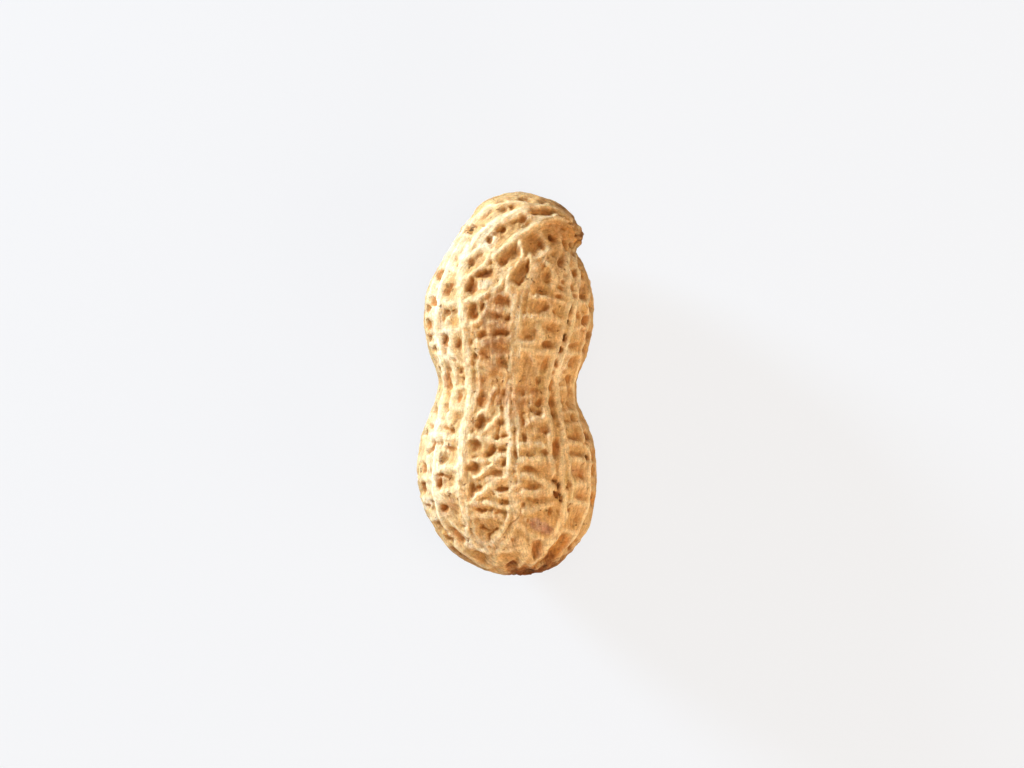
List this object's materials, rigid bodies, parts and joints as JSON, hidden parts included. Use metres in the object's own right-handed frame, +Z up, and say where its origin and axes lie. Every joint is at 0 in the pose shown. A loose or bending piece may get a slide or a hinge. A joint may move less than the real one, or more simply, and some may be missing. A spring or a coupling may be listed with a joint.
{
  "type": "peanut",
  "caption": "Peanut in its shell: a waisted pod with a netted, pitted skin, a short beak at one end and a stem scar at the other, lying on its side.",
  "frame": {"origin": "middle of the pod's footprint, on the surface it rests on", "axes": "+Z up, +Y along the pod towards its beaked end, +X towards the side the beak leans to"},
  "size_m": [0.0171, 0.036, 0.0151],
  "materials": {
    "shell": "dry, matte, fibrous tan husk, paler on the ridges and browner in the pits"
  },
  "bodies": {
    "root": {"peanut": "shell"}
  },
  "joints": []
}
